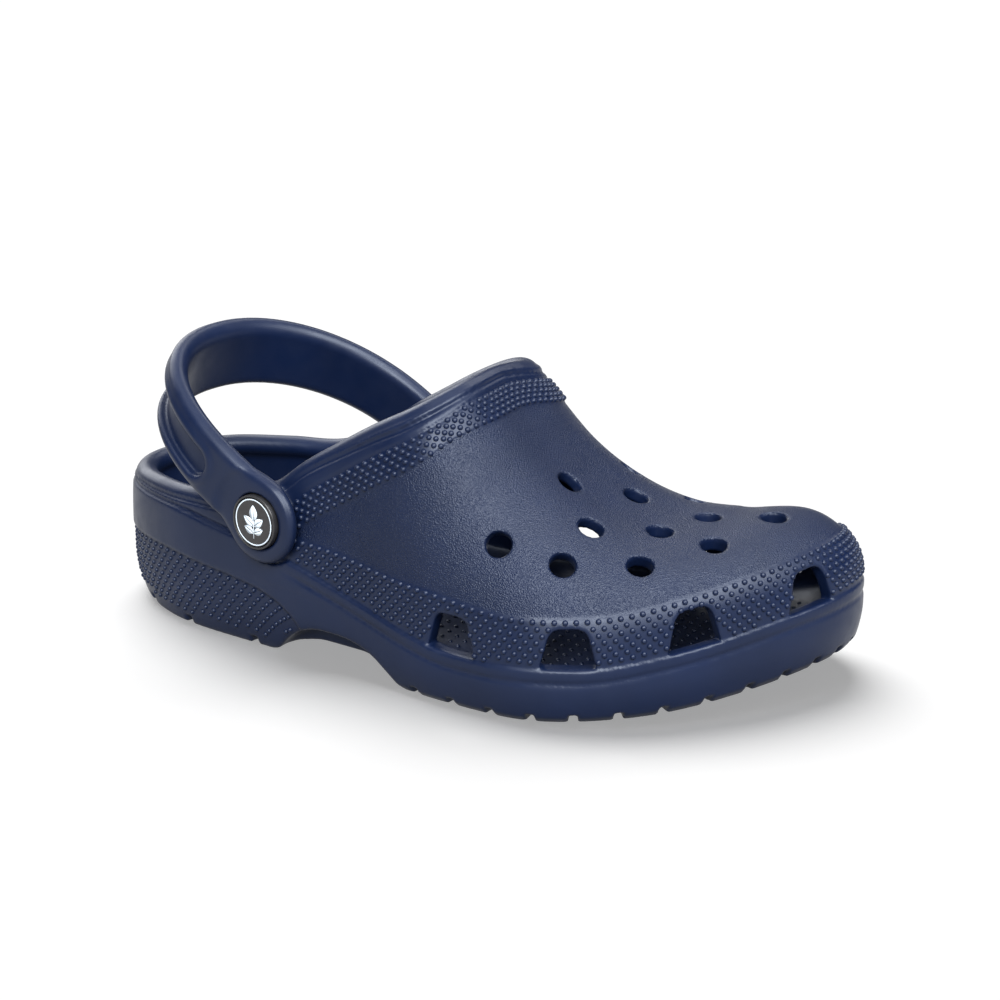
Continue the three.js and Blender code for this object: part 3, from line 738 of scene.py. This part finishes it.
band = smooth_max(band, -panel, 0.7)
for side in (-1, 1):
    out = SY * side
    disc = np.sqrt(SX**2 + SZ**2)
    mid = STRAP_HALF_SPAN - STRAP_THICKNESS / 2
    lobe = smooth_max(disc - LOBE_RADIUS, np.abs(out - mid) - STRAP_THICKNESS / 2, 4.5)
    band = smooth_min(band, np.where(out > 0, lobe, 99), 3)
    proud = smooth_max(disc - LOBE_RADIUS - 3, STRAP_HALF_SPAN - out, 3)
    band = smooth_max(band, -proud, 1.5)
    seat = np.maximum(disc - HEAD_RADIUS - FIT, STRAP_HALF_SPAN - HEAD_SEAT - out)
    band = smooth_max(band, -seat, 0.6)
    band = np.maximum(band, -np.maximum(disc - BORE_RADIUS, -out))
strap_points, strap_quads = surface(band.astype(np.float32), s_low, STRAP_PITCH)
forward = np.cross(axis, [0, 0, 1.0])
rivet_axes = np.stack([forward, axis, [0, 0, 1.0]], 1)


def from_rivet_line(local):
    return (local @ rivet_axes.T + hinge) * MM


strap = make_mesh("foam_strap", from_rivet_line(strap_points), strap_quads)
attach(strap, "strap")
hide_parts("heel_strap")

# ------------------------------------------------------------------ rivets
HEAD_HEIGHT = 4
POST_RADIUS = 4
BADGE_RECESS = 1.2
CAP_RADIUS, CAP_HEIGHT, CAP_LIP = 8, 2.6, 1
PRINT_RING = (8.3, 8.75)
PRINT_PROUD = 0.06
TURN_SIDES = 72
HEAD_BASE = FIT + STRAP_THICKNESS - HEAD_SEAT + FIT


def rounded(profile, radius, steps=4):
    """The profile with its inner corners rounded off."""
    profile = [np.array(p, float) for p in profile]
    smooth = [profile[0]]
    for before, corner, after in zip(profile, profile[1:], profile[2:]):
        reach_in = min(radius, np.linalg.norm(before - corner) * 0.45)
        reach_out = min(radius, np.linalg.norm(after - corner) * 0.45)
        start = corner + (before - corner) / np.linalg.norm(before - corner) * reach_in
        end = corner + (after - corner) / np.linalg.norm(after - corner) * reach_out
        for t in np.linspace(0, 1, steps):
            smooth.append((1 - t) ** 2 * start + 2 * t * (1 - t) * corner + t * t * end)
    smooth.append(profile[-1])
    return smooth


class Shape:
    """Vertices, faces and their material numbers, gathered before they become one mesh."""

    def __init__(self):
        self.points, self.faces, self.slots = [], [], []

    def add(self, points, faces, slot=0):
        first = len(self.points)
        self.points.extend(points)
        self.faces.extend([tuple(first + c for c in face) for face in faces])
        self.slots.extend([slot] * len(faces))

    def turned(self, profile, slot=0):
        """A closed body turned from (radius, height); radius 0 ends close on the axis."""
        points, faces, rings = [], [], []
        for radius, height in profile:
            if radius < 1e-6:
                rings.append([len(points)] * TURN_SIDES)
                points.append((0, 0, height))
            else:
                rings.append([len(points) + j for j in range(TURN_SIDES)])
                for j in range(TURN_SIDES):
                    angle = 2 * math.pi * j / TURN_SIDES
                    points.append((radius * math.cos(angle), radius * math.sin(angle), height))
        for ring, following in zip(rings, rings[1:]):
            for j in range(TURN_SIDES):
                k = (j + 1) % TURN_SIDES
                face = [ring[j], ring[k], following[k], following[j]]
                face = [c for n, c in enumerate(face) if c != face[n - 1]]
                faces.append(face)
        self.add(points, faces, slot)

    def plate(self, outline, base, top, slot=0):
        count = len(outline)
        points = [(x, y, base) for x, y in outline] + [(x, y, top) for x, y in outline]
        faces = [tuple(range(count - 1, -1, -1)), tuple(range(count, 2 * count))]
        faces += [(j, (j + 1) % count, (j + 1) % count + count, j + count) for j in range(count)]
        self.add(points, faces, slot)

    def piece(self, name, outward):
        """The shape as an object standing on the rivet's seat, its height pointing outward."""
        facing = axis * outward
        up = np.array([0, 0, 1.0])
        right = np.cross(up, facing)
        local = np.array(self.points, float)
        seat = hinge + facing * SEAT_SPAN / 2
        world = seat + local[:, :1] * right + local[:, 1:2] * up + local[:, 2:] * facing
        mesh = bpy.data.meshes.new(name)
        mesh.from_pydata((world * MM).tolist(), [], self.faces)
        mesh.polygons.foreach_set("use_smooth", [True] * len(self.faces))
        mesh.polygons.foreach_set("material_index", self.slots)
        mesh.update()
        piece = bpy.data.objects.new(name, mesh)
        bpy.context.collection.objects.link(piece)
        return piece


def leaf_halves(length, width, base, angle):
    """The two blades of a leaf on both sides of its rib, as outlines."""
    halves = []
    for hand in (-1, 1):
        t = np.linspace(0, 1, 12)
        swell = np.sin(np.pi * t**0.85) ** 0.9 * width / 2
        rib = 0.13 * (1 - 0.6 * t)
        edge_side = [(hand * (rib[k] + swell[k]), t[k] * length) for k in range(12)]
        rib_side = [(hand * rib[k], t[k] * length) for k in range(10, 0, -1)]
        line = edge_side + rib_side
        if hand > 0:
            line = line[::-1]
        cos, sin = math.cos(angle), math.sin(angle)
        halves.append([(base[0] + cos * x - sin * y, base[1] + sin * x + cos * y)
                       for x, y in line])
    return halves


def make_button():
    top = HEAD_BASE + HEAD_HEIGHT
    recess = top - BADGE_RECESS
    end = -SEAT_THICKNESS - FIT - CAP_HEIGHT + CAP_LIP + FIT
    shape = Shape()
    shape.turned(rounded([
        (0, end), (POST_RADIUS, end), (POST_RADIUS, HEAD_BASE), (HEAD_RADIUS, HEAD_BASE),
        (HEAD_RADIUS, top), (BADGE_RADIUS + FIT, top), (BADGE_RADIUS + FIT, recess), (0, recess),
    ], 0.35))
    return shape


def make_badge():
    top = HEAD_BASE + HEAD_HEIGHT - 0.1
    base = HEAD_BASE + HEAD_HEIGHT - BADGE_RECESS + FIT
    shape = Shape()
    shape.turned(rounded([(0, base), (BADGE_RADIUS, base), (BADGE_RADIUS, top), (0, top)], 0.2))
    low_face, high_face = top - 0.05, top + PRINT_PROUD
    inner, outer_ring = PRINT_RING
    shape.turned([(inner, low_face), (outer_ring, low_face), (outer_ring, high_face),
                  (inner, high_face), (inner, low_face)], 1)
    stem = [(-0.16, -6.2), (0.16, -6.2), (0.13, 0.8), (-0.13, 0.8)]
    shape.plate(stem, low_face, high_face, 1)
    sprig = [((0, 0.6), 5.9, 3.6, 0)]
    for hand in (1, -1):
        sprig.append(((0.2 * hand, -1.4), 5.4, 3.0, -0.95 * hand))
        sprig.append(((0.2 * hand, -4.0), 4.6, 2.6, -1.15 * hand))
    for base_point, leaf_length, leaf_width, angle in sprig:
        for half in leaf_halves(leaf_length, leaf_width, base_point, angle):
            shape.plate(half, low_face, high_face, 1)
    return shape


def make_cap():
    base = -SEAT_THICKNESS - FIT
    end = base - CAP_HEIGHT
    shape = Shape()
    shape.turned(rounded([
        (0, end), (CAP_RADIUS, end), (CAP_RADIUS, base), (BORE_RADIUS, base),
        (BORE_RADIUS, end + CAP_LIP), (0, end + CAP_LIP),
    ], 0.9))
    return shape


rivets = []
for side_name, outward in (("right", -1), ("left", 1)):
    for kind, make, slot_name in (("button", make_button, "rivet_plastic"),
                                  ("badge", make_badge, "badge_print"),
                                  ("cap", make_cap, "rivet_plastic")):
        piece = make().piece(f"{side_name}_{kind}", outward)
        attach(piece, f"{side_name}_rivet")
        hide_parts(f"{side_name}_rivet_{kind}")
        rivets.append((kind, piece))


# ------------------------------------------------------------------ materials
def node_material(name, base, roughness, specular=0.5):
    material = bpy.data.materials.new(name)
    material.use_nodes = True
    nodes, links = material.node_tree.nodes, material.node_tree.links
    shader = nodes["Principled BSDF"]
    shader.inputs["Base Color"].default_value = (*base, 1)
    shader.inputs["Roughness"].default_value = roughness
    shader.inputs["Specular IOR Level"].default_value = specular
    place = nodes.new("ShaderNodeTexCoord").outputs["Object"]
    return material, nodes, links, shader, place


def texture(nodes, links, place, scale, detail, kind="ShaderNodeTexNoise"):
    node = nodes.new(kind)
    node.inputs["Scale"].default_value = scale
    if "Detail" in node.inputs:
        node.inputs["Detail"].default_value = detail
    links.new(place, node.inputs["Vector"])
    return node


def vary_color(nodes, links, shader, source, dark, light):
    ramp = nodes.new("ShaderNodeValToRGB")
    ramp.color_ramp.elements[0].position, ramp.color_ramp.elements[1].position = 0.3, 0.7
    ramp.color_ramp.elements[0].color = (*dark, 1)
    ramp.color_ramp.elements[1].color = (*light, 1)
    links.new(source, ramp.inputs["Fac"])
    links.new(ramp.outputs["Color"], shader.inputs["Base Color"])


def vary_roughness(nodes, links, shader, source, low_value, high_value):
    span = nodes.new("ShaderNodeMapRange")
    span.inputs["From Min"].default_value, span.inputs["From Max"].default_value = 0.3, 0.7
    span.inputs["To Min"].default_value, span.inputs["To Max"].default_value = low_value, high_value
    links.new(source, span.inputs["Value"])
    links.new(span.outputs["Result"], shader.inputs["Roughness"])


def add_bump(nodes, links, shader, height, distance, strength, after=None):
    bump = nodes.new("ShaderNodeBump")
    bump.inputs["Distance"].default_value = distance
    bump.inputs["Strength"].default_value = strength
    links.new(height, bump.inputs["Height"])
    if after is not None:
        links.new(after.outputs["Normal"], bump.inputs["Normal"])
    links.new(bump.outputs["Normal"], shader.inputs["Normal"])
    return bump


NAVY = (0.0017, 0.0054, 0.0225)


def foam(name, grained):
    material, nodes, links, shader, place = node_material(name, NAVY, 0.4, 0.36)
    shader.inputs["Specular Tint"].default_value = (0.8, 0.88, 1, 1)
    cloud = texture(nodes, links, place, 45, 3)
    vary_color(nodes, links, shader, cloud.outputs["Fac"],
               tuple(0.9 * c for c in NAVY), tuple(1.1 * c for c in NAVY))
    patch = texture(nodes, links, place, 160, 4)
    vary_roughness(nodes, links, shader, patch.outputs["Fac"], 0.36, 0.46)
    pores = texture(nodes, links, place, 2600, 2)
    fine = add_bump(nodes, links, shader, pores.outputs["Fac"], 0.00004, 0.5)
    if grained:
        wrinkle = texture(nodes, links, place, 2050, 1)
        wrinkle.inputs["Distortion"].default_value = 0.6
        cells = texture(nodes, links, place, 1800, 0, "ShaderNodeTexVoronoi")
        both = nodes.new("ShaderNodeMath")
        both.operation = "ADD"
        links.new(wrinkle.outputs["Fac"], both.inputs[0])
        links.new(cells.outputs["Distance"], both.inputs[1])
        mask = nodes.new("ShaderNodeAttribute")
        mask.attribute_name = "grain"
        amount = nodes.new("ShaderNodeMath")
        amount.operation = "MULTIPLY"
        links.new(both.outputs["Value"], amount.inputs[0])
        links.new(mask.outputs["Fac"], amount.inputs[1])
        add_bump(nodes, links, shader, amount.outputs["Value"], 0.00032, 0.7, fine)
    return material


def give(piece, *materials):
    for material in materials:
        piece.data.materials.append(material)


give(clog, foam("navy_foam_grained", True))
give(strap, foam("navy_foam_smooth", False))


def moulded(name, dark, light, low_roughness, high_roughness):
    material, nodes, links, shader, place = node_material(name, light, low_roughness, 0.5)
    cloud = texture(nodes, links, place, 300, 3)
    vary_color(nodes, links, shader, cloud.outputs["Fac"], dark, light)
    patch = texture(nodes, links, place, 900, 3)
    vary_roughness(nodes, links, shader, patch.outputs["Fac"], low_roughness, high_roughness)
    speck = texture(nodes, links, place, 3500, 2)
    add_bump(nodes, links, shader, speck.outputs["Fac"], 0.00003, 0.4)
    return material


black = moulded("black_plastic", (0.009, 0.009, 0.010), (0.014, 0.014, 0.016), 0.3, 0.42)
badge_black = moulded("badge_black", (0.012, 0.011, 0.012), (0.018, 0.017, 0.018), 0.38, 0.5)
pale_print = moulded("pale_print", (0.46, 0.53, 0.60), (0.54, 0.61, 0.68), 0.45, 0.6)
for kind, piece in rivets:
    if kind == "badge":
        give(piece, badge_black, pale_print)
    else:
        give(piece, black)


# ------------------------------------------------------------------ floor, light, camera
FLOOR_REACH, FLOOR_LEVEL = 6, -0.0002
floor_corners = [(x * FLOOR_REACH, y * FLOOR_REACH, FLOOR_LEVEL)
                 for x, y in ((-1, -1), (1, -1), (1, 1), (-1, 1))]
floor_mesh = bpy.data.meshes.new("floor")
floor_mesh.from_pydata(floor_corners, [], [(0, 1, 2, 3)])
floor = bpy.data.objects.new("floor", floor_mesh)
bpy.context.collection.objects.link(floor)
floor_material, _, _, floor_shader, _ = node_material("pale_floor", (0.75, 0.75, 0.75), 0.9, 0.1)
floor_shader.inputs["Emission Color"].default_value = (1, 1, 1, 1)
floor_shader.inputs["Emission Strength"].default_value = 0.34
floor_mesh.materials.append(floor_material)

world = bpy.data.worlds.new("studio")
world.use_nodes = True
world.node_tree.nodes["Background"].inputs["Color"].default_value = (1, 1, 1, 1)
world.node_tree.nodes["Background"].inputs["Strength"].default_value = 0.05
bpy.context.scene.world = world


def receivers(name, pieces):
    """The pieces that a light falls on; every piece still throws its shadow."""
    group = bpy.data.collections.new(name)
    for piece in pieces:
        group.objects.link(piece)
    return group


def broad_light(name, azimuth_deg, elevation_deg, power, spread, group):
    """A far, wide light; azimuth 0 is in front of the near side and turns toward the toe."""
    light = bpy.data.lights.new(name, "SUN")
    light.energy = power
    light.angle = math.radians(spread)
    lamp = bpy.data.objects.new(name, light)
    bpy.context.collection.objects.link(lamp)
    turned, raised = math.radians(azimuth_deg), math.radians(elevation_deg)
    toward = Vector((-math.sin(turned) * math.cos(raised),
                     math.cos(turned) * math.cos(raised), -math.sin(raised)))
    lamp.rotation_mode = "QUATERNION"
    lamp.rotation_quaternion = toward.to_track_quat("-Z", "Y")
    lamp.light_linking.receiver_collection = group


on_clog = receivers("lit_clog", [clog, strap] + [piece for _, piece in rivets])
on_floor = receivers("lit_floor", [floor])
broad_light("key_front", 14, 37, 5.6, 34, on_clog)
broad_light("key_toe", 72, 46, 6.0, 42, on_clog)
broad_light("overhead", 0, 84, 1.0, 60, on_clog)
broad_light("back_left", 178, 44, 0.7, 30, on_clog)
broad_light("back_heel", 240, 32, 2.6, 50, on_clog)
broad_light("floor_light", 226, 60, 3.2, 44, on_floor)

camera_data = bpy.data.cameras.new("camera")
camera_data.sensor_width = 36
camera_data.lens = 101.5
camera_data.shift_x, camera_data.shift_y = 0.0286, 0.0318
camera = bpy.data.objects.new("camera", camera_data)
bpy.context.collection.objects.link(camera)
azimuth, elevation, distance = math.radians(27.7), math.radians(18.9), 1.043
target = Vector(in_metres([142.5, 0, 40]))
back = Vector((math.sin(azimuth) * math.cos(elevation), -math.cos(azimuth) * math.cos(elevation),
               math.sin(elevation)))
camera.location = target + back * distance
camera.rotation_mode = "QUATERNION"
camera.rotation_quaternion = (-back).to_track_quat("-Z", "Y")
bpy.context.scene.camera = camera
bpy.context.scene.view_settings.view_transform = "Standard"
